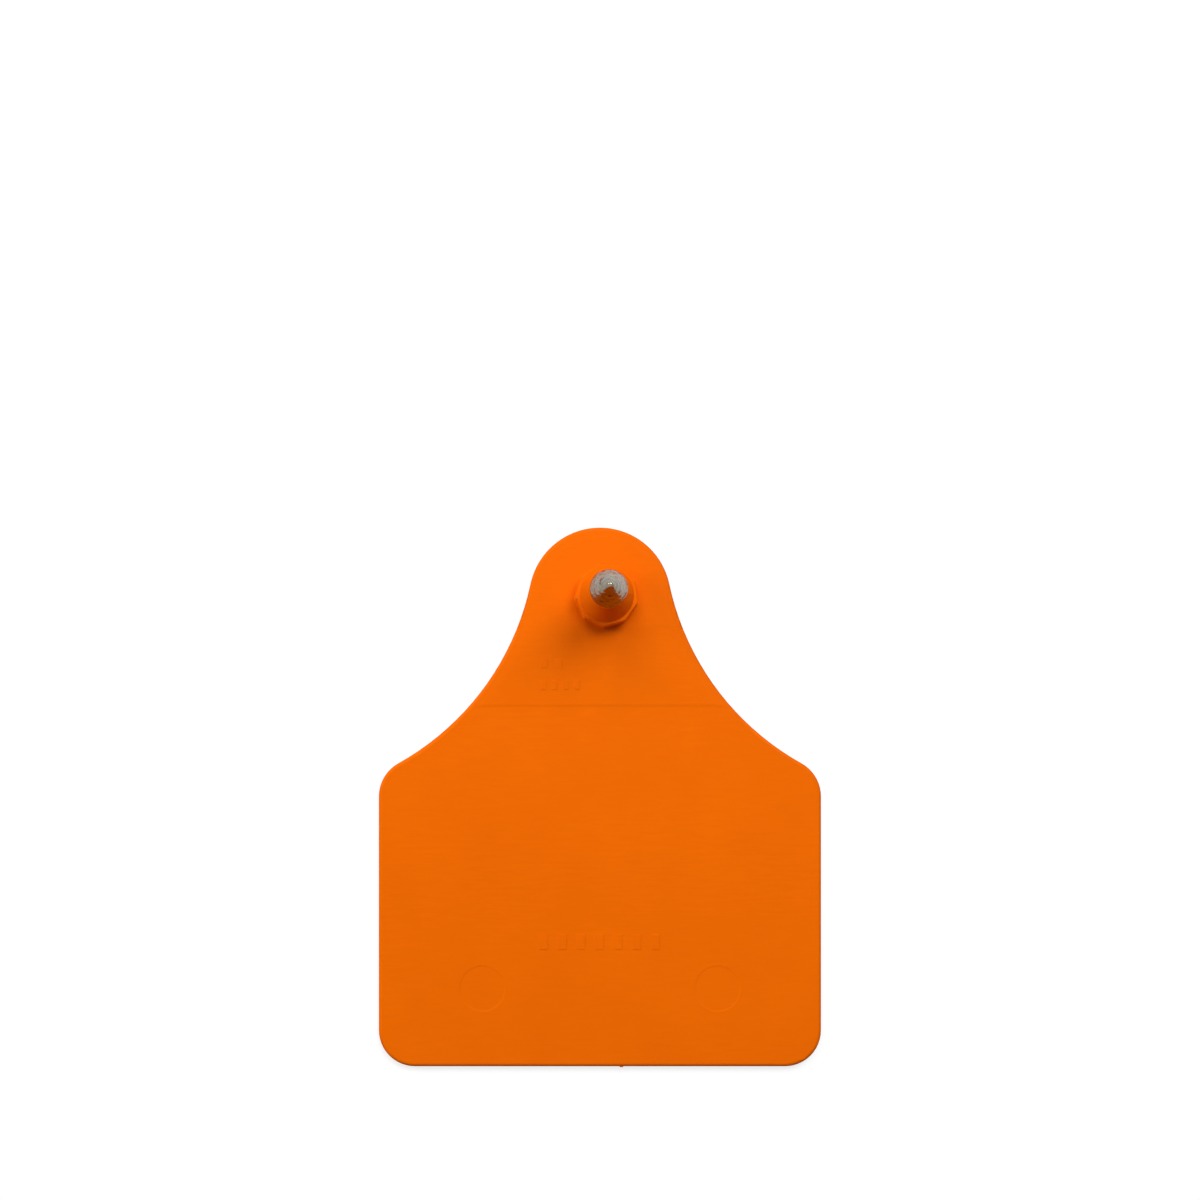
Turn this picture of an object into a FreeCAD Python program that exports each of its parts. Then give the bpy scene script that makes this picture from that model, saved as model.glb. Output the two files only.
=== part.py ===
"""Stud half of a two-piece livestock ear tag, in millimetres.

The tag lies on its flat back with its stud pointing up, +Z. +Y runs up the panel towards the
neck and +X across it. The origin is on the back face, at the middle of the panel's box.

Two pieces: the panel, moulded in one shot with its collar and hollow stem, and the metal tip
that is moulded into the end of the stem and pierces the ear.
"""
import FreeCAD, Part
import math
import os

# Panel: the flat plate that hangs from the ear
panel_width = 76.0
panel_height = 92.6
panel_thickness = 1.4
dome_radius = 12.2           # round upper end of the neck
flare_radius = 46.3          # hollow curve from the neck out to each shoulder
shoulder_drop = 42.2         # from the dome's top down to the shoulder before it is rounded
shoulder_radius = 6.5
corner_radius = 6.2          # lower corners
front_edge_radius = 0.6
back_edge_bevel = 0.15

# Pad: the slightly thicker neck, which ends in a low step across the panel
pad_height = 0.06
pad_drop = 30.9              # from the dome's top down to the step
pad_step_width = 0.5
pad_margin = 1.9             # from the outline in to where the pad has its full height

# Ejector marks: two shallow round sinks left by the mould's pins
mark_radius = 4.0
mark_depth = 0.04
mark_wall_width = 0.25
mark_spacing = 40.4
mark_rise = 13.4             # from the panel's lower edge up to the marks' centres

# Gate stub: what is left of the runner on the lower edge
gate_offset = 3.7            # from the centre line
gate_radius = 0.3
gate_reach = 0.15

# Stud: its axis, the many-sided collar, the cone above it and the stem
stud_offset = 1.1            # from the centre line
stud_drop = 11.9             # from the dome's top down to the stud's axis
collar_sides = 9
collar_radius = 5.4          # to its corners
collar_height = 3.2          # above the panel's front face
collar_turn = 5.0            # degrees from a corner that points straight down the panel
collar_corner_radius = 0.5
collar_top_radius = 0.25
collar_foot_radius = 0.3
ledge_width = 0.45           # flat rim left round the foot of the cone
cone_height = 4.6
stem_radius = 2.8
stem_height = 13.8           # from the front face up to the seat of the metal tip

# Bore: the blind hole for the applicator's pin, open at the back
bore_radius = 1.5
bore_mouth_radius = 2.5
bore_mouth_depth = 0.9

# Piercing tip: the metal point, its hollow shank and the ridges that hold it in the stem
head_radius = 3.2
head_land = 1.0              # height of the upright rim under the point
head_edge_radius = 0.12      # underside of the rim
head_round_radius = 4.0      # from the rim into the point's flank
point_length = 7.6           # from the rim up to the end of the nose
flank_radius = 45.0          # slight outward bow of the point's flank
nose_radius = 0.5
shank_radius = 2.1
shank_length = 5.5
shank_crown = 1.2            # metal between the end of the bore and the seat
ridge_count = 2
ridge_height = 0.25
ridge_width = 0.7
ridge_pitch = 1.8

# Places that follow from the sizes above
front_z = panel_thickness
pad_z = front_z + pad_height
collar_z = front_z + collar_height
seat_z = front_z + stem_height
shank_z = seat_z - shank_length
bore_end_z = seat_z - shank_crown
top_y = panel_height / 2
step_y = top_y - pad_drop
stud_x = stud_offset
stud_y = top_y - stud_drop
stud_foot = FreeCAD.Vector(stud_x, stud_y, 0)
up = FreeCAD.Vector(0, 0, 1)

# Centres of the outline's arcs on the right-hand side
half_width = panel_width / 2
dome_centre = FreeCAD.Vector(0, top_y - dome_radius, 0)


def crossing(centre_a, radius_a, centre_b, radius_b):
    """Where two circles cross, on the left of the way from the first centre to the second."""
    gap = centre_b - centre_a
    along = (radius_a ** 2 - radius_b ** 2 + gap.Length ** 2) / (2 * gap.Length)
    aside = math.sqrt(radius_a ** 2 - along ** 2)
    direction = gap.normalize()
    left = FreeCAD.Vector(-direction.y, direction.x, 0)
    return centre_a + direction * along + left * aside


shoulder_corner = FreeCAD.Vector(half_width, top_y - shoulder_drop, 0)
flare_centre = crossing(dome_centre, dome_radius + flare_radius, shoulder_corner, flare_radius)
shoulder_x = half_width - shoulder_radius
shoulder_fall = math.sqrt((flare_radius + shoulder_radius) ** 2 - (flare_centre.x - shoulder_x) ** 2)
shoulder_centre = FreeCAD.Vector(shoulder_x, flare_centre.y - shoulder_fall, 0)
corner_centre = FreeCAD.Vector(half_width - corner_radius, -top_y + corner_radius, 0)


def on_circle(centre, radius, towards):
    """The point of a circle that faces another point."""
    return centre + (towards - centre).normalize() * radius


def arc(centre, start, end):
    """The shorter arc about a centre, as an edge."""
    radius = (start - centre).Length
    middle = on_circle(centre, radius, (start + end) / 2)
    return Part.Arc(start, middle, end).toShape()


def line(start, end):
    """A straight edge."""
    return Part.LineSegment(start, end).toShape()


def mirrored(point):
    """The same point on the panel's left-hand side."""
    return FreeCAD.Vector(-point.x, point.y, point.z)


def raised(edges, z):
    """A closed outline of edges drawn at z = 0, lifted to a height."""
    wire = Part.Wire(Part.__sortEdges__(edges))
    wire.translate(up * z)
    return wire


def dome_edge(inset, end):
    """The dome's arc, between an end on the right and its mirror on the left."""
    crown = FreeCAD.Vector(0, top_y - inset, 0)
    return Part.Arc(end, crown, mirrored(end)).toShape()


def panel_outline(inset, z):
    """The panel's closed outline, moved inwards by an inset."""
    neck = on_circle(dome_centre, dome_radius - inset, flare_centre)
    hip = on_circle(shoulder_centre, shoulder_radius - inset, flare_centre)
    side_top = shoulder_centre + FreeCAD.Vector(shoulder_radius - inset, 0, 0)
    side_foot = corner_centre + FreeCAD.Vector(corner_radius - inset, 0, 0)
    base = corner_centre - FreeCAD.Vector(0, corner_radius - inset, 0)
    edges = [dome_edge(inset, neck), line(base, mirrored(base))]
    for turn in (lambda point: point, mirrored):
        edges.append(arc(turn(flare_centre), turn(neck), turn(hip)))
        edges.append(arc(turn(shoulder_centre), turn(hip), turn(side_top)))
        edges.append(line(turn(side_top), turn(side_foot)))
        edges.append(arc(turn(corner_centre), turn(side_foot), turn(base)))
    return raised(edges, z)


def pad_outline(inset, foot_y, z):
    """The neck's part of the outline, moved inwards and closed by a line across its foot."""
    neck = on_circle(dome_centre, dome_radius - inset, flare_centre)
    reach = math.sqrt((flare_radius + inset) ** 2 - (flare_centre.y - foot_y) ** 2)
    foot = FreeCAD.Vector(flare_centre.x - reach, foot_y, 0)
    edges = [dome_edge(inset, neck), line(foot, mirrored(foot))]
    for turn in (lambda point: point, mirrored):
        edges.append(arc(turn(flare_centre), turn(neck), turn(foot)))
    return raised(edges, z)


def edges_at(shape, z):
    """The edges of a shape that lie flat at a height."""
    flat = []
    for edge in shape.Edges:
        box = edge.BoundBox
        if abs(box.ZMin - z) < 1e-4 and abs(box.ZMax - z) < 1e-4:
            flat.append(edge)
    return flat


def turned(profile):
    """A solid of revolution about the stud's axis, from edges drawn as (radius, height)."""
    axis_foot = FreeCAD.Vector(0, 0, 0)
    section = Part.Face(Part.Wire(Part.__sortEdges__(profile)))
    section.rotate(axis_foot, FreeCAD.Vector(1, 0, 0), 90)
    solid = section.revolve(axis_foot, up, 360)
    solid.translate(stud_foot)
    return solid


def at(radius, height):
    """A point of a turned profile."""
    return FreeCAD.Vector(radius, height, 0)


def chain(points):
    """Straight edges from each point to the next."""
    return [line(start, end) for start, end in zip(points, points[1:])]


def panel_plate():
    """The flat panel with its rounded edges and the stub of the gate."""
    plate = Part.Face(panel_outline(0, 0)).extrude(up * panel_thickness)
    plate = plate.makeFillet(front_edge_radius, edges_at(plate, front_z))
    plate = plate.makeChamfer(back_edge_bevel, edges_at(plate, 0))
    stub_start = FreeCAD.Vector(gate_offset, -top_y + corner_radius, panel_thickness / 2)
    stub_length = corner_radius + gate_reach
    stub = Part.makeCylinder(gate_radius, stub_length, stub_start, FreeCAD.Vector(0, -1, 0))
    return plate.fuse(stub)


def neck_pad():
    """The neck's extra thickness, steep at its foot and sloping away to the outline."""
    lower = pad_outline(front_edge_radius, step_y, front_z)
    upper = pad_outline(pad_margin, step_y + pad_step_width, pad_z)
    return Part.makeLoft([lower, upper], True, True)


def ejector_mark(x):
    """The shape that sinks one ejector mark into the front face."""
    centre = FreeCAD.Vector(x, -top_y + mark_rise, front_z - mark_depth)
    return Part.makeCone(mark_radius - mark_wall_width, mark_radius, mark_depth, centre)


def collar():
    """The many-sided collar at the stud's foot, with its corners and upper rim rounded."""
    corners = []
    for number in range(collar_sides):
        angle = math.radians(270 - collar_turn + 360 * number / collar_sides)
        corner = FreeCAD.Vector(math.cos(angle), math.sin(angle), 0) * collar_radius
        corners.append(corner + stud_foot)
    block = Part.Face(Part.makePolygon(corners + corners[:1])).extrude(up * collar_z)
    upright = [edge for edge in block.Edges if edge.BoundBox.ZLength > collar_z / 2]
    block = block.makeFillet(collar_corner_radius, upright)
    return block.makeFillet(collar_top_radius, edges_at(block, collar_z))


def stem():
    """The cone on the collar and the stem that carries the tip."""
    flat_radius = collar_radius * math.cos(math.pi / collar_sides)
    cone_radius = flat_radius - ledge_width
    cone_top_z = collar_z + cone_height
    outside = [at(0, 0), at(cone_radius, 0), at(cone_radius, collar_z), at(stem_radius, cone_top_z)]
    outside += [at(stem_radius, seat_z), at(0, seat_z), at(0, 0)]
    return turned(chain(outside))


def pin_bore():
    """The space of the applicator's pin, with the funnel at its mouth."""
    mouth = Part.makeCone(bore_mouth_radius, bore_radius, bore_mouth_depth, stud_foot)
    return mouth.fuse(Part.makeCylinder(bore_radius, bore_end_z, stud_foot))


def tip_body():
    """The metal tip before its bore: point, rim, shank and retaining ridges."""
    rim = at(head_radius, seat_z + head_land)
    nose_top = rim + at(-head_radius, point_length)
    nose_centre = nose_top - at(0, nose_radius)
    flank_centre = crossing(rim, flank_radius, nose_centre, flank_radius - nose_radius)
    flank_top = on_circle(flank_centre, flank_radius, nose_centre)
    outside = [nose_top, at(0, shank_z), at(shank_radius, shank_z), at(shank_radius, seat_z)]
    outside += [at(head_radius, seat_z), rim]
    profile = chain(outside)
    profile.append(arc(flank_centre, rim, flank_top))
    profile.append(arc(nose_centre, flank_top, nose_top))
    body = turned(profile)
    body = body.makeFillet(head_edge_radius, rim_edges(body, seat_z))
    body = body.makeFillet(head_round_radius, rim_edges(body, rim.y))
    for number in range(ridge_count):
        body = body.fuse(shank_ridge(number))
    return body


def rim_edges(body, z):
    """The edges of the tip's head that run round its full width at a height."""
    return [edge for edge in edges_at(body, z) if edge.BoundBox.XLength > head_radius + shank_radius]


def shank_ridge(number):
    """One barbed ridge round the shank, counted from its lower end."""
    foot_z = shank_z + ridge_pitch * (number + 0.5)
    top_z = foot_z + ridge_width
    inside = shank_radius / 2
    corners = [at(inside, foot_z), at(shank_radius, foot_z), at(shank_radius + ridge_height, top_z)]
    corners += [at(inside, top_z), at(inside, foot_z)]
    return turned(chain(corners))


def tag_panel(tip):
    """The moulded piece, with the tip's seat and the pin's bore taken out of it."""
    moulding = panel_plate().fuse(neck_pad())
    for side in (-1, 1):
        moulding = moulding.cut(ejector_mark(side * mark_spacing / 2))
    moulding = moulding.fuse(collar())
    foot = [edge for edge in edges_at(moulding, pad_z) if is_collar_foot(edge)]
    moulding = moulding.makeFillet(collar_foot_radius, foot)
    return moulding.fuse(stem()).cut(tip).cut(pin_bore()).removeSplitter()


def is_collar_foot(edge):
    """Whether an edge runs round the foot of the collar."""
    middle = edge.CenterOfMass - stud_foot
    return math.hypot(middle.x, middle.y) < collar_radius


def write(node, shape):
    """Check one piece and save it under its node's name."""
    solid = shape.Solids[0]
    if len(shape.Solids) != 1 or not solid.isValid():
        raise ValueError(node + " is not one valid solid")
    solid.exportStep("parts/" + node + ".step")
    print(node, "volume", round(solid.Volume, 2), "box", solid.BoundBox)


os.makedirs("parts", exist_ok=True)
whole_tip = tip_body()
write("tag_panel", tag_panel(whole_tip))
write("piercing_tip", whole_tip.cut(pin_bore()))
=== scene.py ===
"""Looks of the stud half of a livestock ear tag, lying on its back under soft studio light."""
import math

import bmesh
import bpy
from mathutils import Matrix, Vector


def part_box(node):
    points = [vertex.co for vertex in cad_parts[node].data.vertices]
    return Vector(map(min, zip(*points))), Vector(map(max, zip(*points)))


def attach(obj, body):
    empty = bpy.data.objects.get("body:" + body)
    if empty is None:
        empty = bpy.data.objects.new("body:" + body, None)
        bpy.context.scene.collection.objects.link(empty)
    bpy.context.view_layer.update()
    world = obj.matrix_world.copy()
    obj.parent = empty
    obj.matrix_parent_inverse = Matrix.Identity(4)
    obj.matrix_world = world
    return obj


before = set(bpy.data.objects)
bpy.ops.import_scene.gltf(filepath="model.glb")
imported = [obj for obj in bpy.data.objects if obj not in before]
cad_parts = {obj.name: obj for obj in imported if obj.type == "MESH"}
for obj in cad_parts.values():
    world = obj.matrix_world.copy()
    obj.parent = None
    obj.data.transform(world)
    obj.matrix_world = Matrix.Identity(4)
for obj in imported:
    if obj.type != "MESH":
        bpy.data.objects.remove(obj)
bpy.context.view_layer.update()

MM = 0.001

# A Mix node's sockets for colours, by number because the node has several of the same name.
SHARE, FIRST_COLOUR, SECOND_COLOUR = 0, 6, 7
MIXED_COLOUR = 2


def linear(hex_colour):
    """An sRGB hex colour as linear RGBA."""
    channels = [int(hex_colour[i:i + 2], 16) / 255 for i in (1, 3, 5)]
    turned = [c / 12.92 if c <= 0.04045 else ((c + 0.055) / 1.055) ** 2.4 for c in channels]
    return (*turned, 1.0)


def add_node(tree, kind, links=None, **settings):
    """A node with its settings; links gives its inputs values or other nodes' outputs.

    An input goes by its name, or by its number where the node has several of the same name.
    """
    node = tree.nodes.new(kind)
    for name, value in settings.items():
        setattr(node, name, value)
    for name, value in (links or {}).items():
        if isinstance(value, bpy.types.NodeSocket):
            tree.links.new(value, node.inputs[name])
        else:
            node.inputs[name].default_value = value
    return node


def new_material(name):
    """An empty node material, its tree and its output node."""
    material = bpy.data.materials.new(name)
    material.use_nodes = True
    tree = material.node_tree
    tree.nodes.clear()
    return material, tree, tree.nodes.new("ShaderNodeOutputMaterial")


def per_size(millimetres):
    """The scale that makes a texture's features about this size."""
    return 1 / (millimetres * MM)


# ---- Places ----

# From the imported CAD parts: the panel's back face and the line that the stud stands on.
back_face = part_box("tag_panel")[0].z
tip_low, tip_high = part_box("piercing_tip")
stud_axis = (tip_low + tip_high) / 2
# The panel is 1.4 mm thick, and the pad on its neck stands 0.06 mm higher.
front_face = 1.4 * MM
pad_face = 1.46 * MM

# ---- Materials ----


def moulded_polyurethane():
    """Orange thermoplastic polyurethane, injection moulded.

    The eye gets a strong even orange with little shine, faint clouds and streaks where the melt
    flowed across the mould, and the fine grain of the mould's wall.
    """
    material, tree, output = new_material("moulded_polyurethane")
    place = add_node(tree, "ShaderNodeTexCoord").outputs["Object"]
    # Melt streaks lie across the panel: about 0.5 mm high and some eight times as long.
    across = add_node(tree, "ShaderNodeMapping", {
        "Vector": place, "Scale": (0.12, 1.0, 1.0)}).outputs["Vector"]
    streaks = add_node(tree, "ShaderNodeTexNoise", {
        "Vector": across, "Scale": per_size(0.5), "Detail": 3.0, "Roughness": 0.6})
    clouds = add_node(tree, "ShaderNodeTexNoise", {
        "Vector": place, "Scale": per_size(14.0), "Detail": 4.0})
    # The mould's spark-eroded grain is about 0.1 mm; it is drawn at 0.45 mm so that it shows.
    grain = add_node(tree, "ShaderNodeTexNoise", {
        "Vector": place, "Scale": per_size(0.45), "Detail": 2.0})
    tone = add_node(tree, "ShaderNodeMix", {
        SHARE: clouds.outputs["Fac"], FIRST_COLOUR: linear("#ED6800"),
        SECOND_COLOUR: linear("#F97000")}, data_type="RGBA")
    streaked = add_node(tree, "ShaderNodeMapRange", {
        "Value": streaks.outputs["Fac"], "From Min": 0.35, "From Max": 0.65,
        "To Min": 0.0, "To Max": 0.3})
    colour = add_node(tree, "ShaderNodeMix", {
        SHARE: streaked.outputs["Result"], FIRST_COLOUR: tone.outputs[MIXED_COLOUR],
        SECOND_COLOUR: linear("#EA6600")}, data_type="RGBA")
    sheen = add_node(tree, "ShaderNodeMapRange", {
        "Value": clouds.outputs["Fac"], "From Min": 0.3, "From Max": 0.7,
        "To Min": 0.5, "To Max": 0.66})
    ripple = add_node(tree, "ShaderNodeBump", {
        "Height": streaks.outputs["Fac"], "Strength": 0.3, "Distance": 0.012 * MM})
    skin = add_node(tree, "ShaderNodeBump", {
        "Height": grain.outputs["Fac"], "Strength": 0.6, "Distance": 0.02 * MM,
        "Normal": ripple.outputs["Normal"]})
    shader = add_node(tree, "ShaderNodeBsdfPrincipled", {
        "Base Color": colour.outputs[MIXED_COLOUR], "Roughness": sheen.outputs["Result"],
        "IOR": 1.5, "Specular IOR Level": 0.03, "Normal": skin.outputs["Normal"]})
    tree.links.new(shader.outputs["BSDF"], output.inputs["Surface"])
    return material


def turned_steel():
    """Dull turned steel, bare and a little pitted.

    The eye gets a broken mirror: the white surroundings above and the orange panel below meet
    along a ragged line, because the tool's rings and small pits tilt the surface.
    """
    material, tree, output = new_material("turned_steel")
    place = add_node(tree, "ShaderNodeTexCoord").outputs["Object"]
    centred = add_node(tree, "ShaderNodeMapping", {
        "Vector": place, "Location": (-stud_axis.x, -stud_axis.y, 0)}).outputs["Vector"]
    # Turning leaves rings about 0.1 mm apart; they are drawn 0.22 mm apart so that they show.
    ring_pitch = 0.22 * MM
    # A wave texture has one ring each 2 pi / 20 of its scaled height.
    rings = add_node(tree, "ShaderNodeTexWave", {
        "Vector": centred, "Scale": math.tau / 20 / ring_pitch, "Distortion": 1.2, "Detail": 2.0},
        bands_direction="Z")
    pits = add_node(tree, "ShaderNodeTexNoise", {
        "Vector": centred, "Scale": per_size(0.95), "Detail": 1.5, "Roughness": 0.5})
    stain = add_node(tree, "ShaderNodeTexNoise", {
        "Vector": centred, "Scale": per_size(1.6), "Detail": 4.0})
    tone = add_node(tree, "ShaderNodeMix", {
        SHARE: stain.outputs["Fac"], FIRST_COLOUR: linear("#665F50"),
        SECOND_COLOUR: linear("#928A79")}, data_type="RGBA")
    pitted = add_node(tree, "ShaderNodeMapRange", {
        "Value": pits.outputs["Fac"], "From Min": 0.64, "From Max": 0.68,
        "To Min": 0.0, "To Max": 0.8})
    colour = add_node(tree, "ShaderNodeMix", {
        SHARE: pitted.outputs["Result"], FIRST_COLOUR: tone.outputs[MIXED_COLOUR],
        SECOND_COLOUR: linear("#2B251C")}, data_type="RGBA")
    dullness = add_node(tree, "ShaderNodeMapRange", {
        "Value": stain.outputs["Fac"], "From Min": 0.3, "From Max": 0.7,
        "To Min": 0.1, "To Max": 0.2})
    turned = add_node(tree, "ShaderNodeBump", {
        "Height": rings.outputs["Fac"], "Strength": 0.4, "Distance": 0.005 * MM})
    worn = add_node(tree, "ShaderNodeBump", {
        "Height": pits.outputs["Fac"], "Strength": 1.0, "Distance": 0.22 * MM,
        "Normal": turned.outputs["Normal"]})
    shader = add_node(tree, "ShaderNodeBsdfPrincipled", {
        "Base Color": colour.outputs[MIXED_COLOUR], "Metallic": 1.0,
        "Roughness": dullness.outputs["Result"], "Normal": worn.outputs["Normal"]})
    tree.links.new(shader.outputs["BSDF"], output.inputs["Surface"])
    return material


def studio_paper():
    """White paper: white to the camera and to gloss, greyer to the light that bounces off it."""
    material, tree, output = new_material("studio_paper")
    paper = add_node(tree, "ShaderNodeBsdfDiffuse", {"Color": linear("#8C8C8C")})
    glow = add_node(tree, "ShaderNodeEmission", {"Color": (1, 1, 1, 1), "Strength": 0.8})
    rays = add_node(tree, "ShaderNodeLightPath")
    seen = add_node(tree, "ShaderNodeMath", {
        0: rays.outputs["Is Camera Ray"], 1: rays.outputs["Is Glossy Ray"]}, operation="MAXIMUM")
    lit = add_node(tree, "ShaderNodeAddShader", {
        0: paper.outputs["BSDF"], 1: glow.outputs["Emission"]})
    mix = add_node(tree, "ShaderNodeMixShader", {
        0: seen.outputs[0], 1: paper.outputs["BSDF"], 2: lit.outputs[0]})
    tree.links.new(mix.outputs[0], output.inputs["Surface"])
    return material


def dress(node, material):
    """Give a CAD node its material in every slot."""
    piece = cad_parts[node]
    for slot in piece.material_slots:
        slot.material = material


polyurethane = moulded_polyurethane()
dress("tag_panel", polyurethane)
dress("piercing_tip", turned_steel())

# ---- Mould marks ----


def piece_from(mesh, name, material):
    """An object at the origin made from a bmesh, with its normals outward."""
    bmesh.ops.recalc_face_normals(mesh, faces=mesh.faces)
    data = bpy.data.meshes.new(name)
    mesh.to_mesh(data)
    mesh.free()
    data.materials.append(material)
    piece = bpy.data.objects.new(name, data)
    bpy.context.scene.collection.objects.link(piece)
    return piece


def raised_bar(mesh, x, y, face, length, height):
    """One plain bar with soft edges that stands a little proud of a face of the panel."""
    relief = 0.06 * MM
    sunk = 0.2 * MM
    soft_edge = 0.8 * relief
    middle = Vector((x, y, face + (relief - sunk) / 2))
    size = Matrix.Diagonal((length, height, relief + sunk, 1))
    bar = bmesh.ops.create_cube(mesh, size=1.0, matrix=Matrix.Translation(middle) @ size)
    edges = dict.fromkeys(edge for vertex in bar["verts"] for edge in vertex.link_edges)
    top = [edge for edge in edges if all(vertex.co.z > face for vertex in edge.verts)]
    bmesh.ops.bevel(mesh, geom=top, offset=soft_edge, affect="EDGES", segments=3, profile=0.5,
                    material=-1)


def mould_marks():
    """Three rows of plain raised bars where the mould is engraved; they say nothing."""
    rows = [
        # left end, right end, middle height up the panel, height of a bar, bars, face they stand on
        (-10.9, -5.8, 22.9, 1.6, 2, pad_face),
        (-10.7, -3.0, 19.2, 1.6, 4, pad_face),
        (-11.3, 11.1, -24.9, 2.6, 7, front_face),
    ]
    bar_share = 0.45
    mesh = bmesh.new()
    for left, right, y, height, count, face in rows:
        pitch = (right - left) / count
        for number in range(count):
            x = left + pitch * (number + 0.5)
            raised_bar(mesh, x * MM, y * MM, face, pitch * bar_share * MM, height * MM)
    return piece_from(mesh, "mould_marks", polyurethane)


marks = mould_marks()
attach(marks, "root")

# ---- Floor ----


def paper_floor():
    """A wide flat sheet just under the panel's back face."""
    gap = 0.02 * MM
    half_side = 1.5
    mesh = bmesh.new()
    level = Matrix.Translation((0, 0, back_face - gap))
    bmesh.ops.create_grid(mesh, x_segments=1, y_segments=1, size=half_side, matrix=level)
    return piece_from(mesh, "floor", studio_paper())


paper_floor()

# ---- World and lights ----

# The camera and the metal see a white room, which adds next to no light of its own to the tag.
white = 1.0
faint = 0.03
world = bpy.data.worlds.new("studio")
bpy.context.scene.world = world
world.use_nodes = True
room = world.node_tree
background = room.nodes["Background"]
background.inputs["Color"].default_value = (1, 1, 1, 1)
rays = add_node(room, "ShaderNodeLightPath")
seen = add_node(room, "ShaderNodeMath", {
    0: rays.outputs["Is Camera Ray"], 1: rays.outputs["Is Glossy Ray"]}, operation="MAXIMUM")
brightness = add_node(room, "ShaderNodeMapRange", {
    "Value": seen.outputs[0], "To Min": faint, "To Max": white})
room.links.new(brightness.outputs["Result"], background.inputs["Strength"])


def softbox(name, azimuth, elevation, side, power):
    """A square lamp that faces the tag; its azimuth is counted anticlockwise from +X."""
    distance = 0.6
    data = bpy.data.lights.new(name, "AREA")
    data.size = side
    data.energy = power
    lamp = bpy.data.objects.new(name, data)
    bpy.context.scene.collection.objects.link(lamp)
    turn, lift = math.radians(azimuth), math.radians(elevation)
    way = Vector((math.cos(turn) * math.cos(lift), math.sin(turn) * math.cos(lift), math.sin(lift)))
    lamp.location = way * distance
    lamp.rotation_euler = (-way).to_track_quat("-Z", "Y").to_euler()


softbox("key_lamp", azimuth=57, elevation=52, side=0.28, power=2.30)
softbox("top_lamp", azimuth=106, elevation=50, side=0.30, power=1.40)
softbox("left_lamp", azimuth=160, elevation=17, side=0.24, power=1.40)
softbox("low_left_lamp", azimuth=205, elevation=20, side=0.30, power=0.30)
softbox("front_lamp", azimuth=246, elevation=42, side=0.30, power=0.18)

# ---- Camera ----

# It looks straight down from a little to the left. The lens is shifted so that the view's middle
# lies on the panel's centre line, 33.8 mm up the panel from its middle.
camera_height = 380 * MM
camera_side = -10 * MM
view_width = 206 * MM
view_middle_y = 33.8046 * MM
data = bpy.data.cameras.new("camera")
camera = bpy.data.objects.new("camera", data)
bpy.context.scene.collection.objects.link(camera)
camera.location = (camera_side, 0, camera_height)
data.sensor_width = 36
data.lens = data.sensor_width * (camera_height - front_face) / view_width
data.shift_x = -camera_side / view_width
data.shift_y = view_middle_y / view_width
data.clip_start = 0.01
bpy.context.scene.camera = camera
bpy.context.scene.view_settings.view_transform = "Standard"
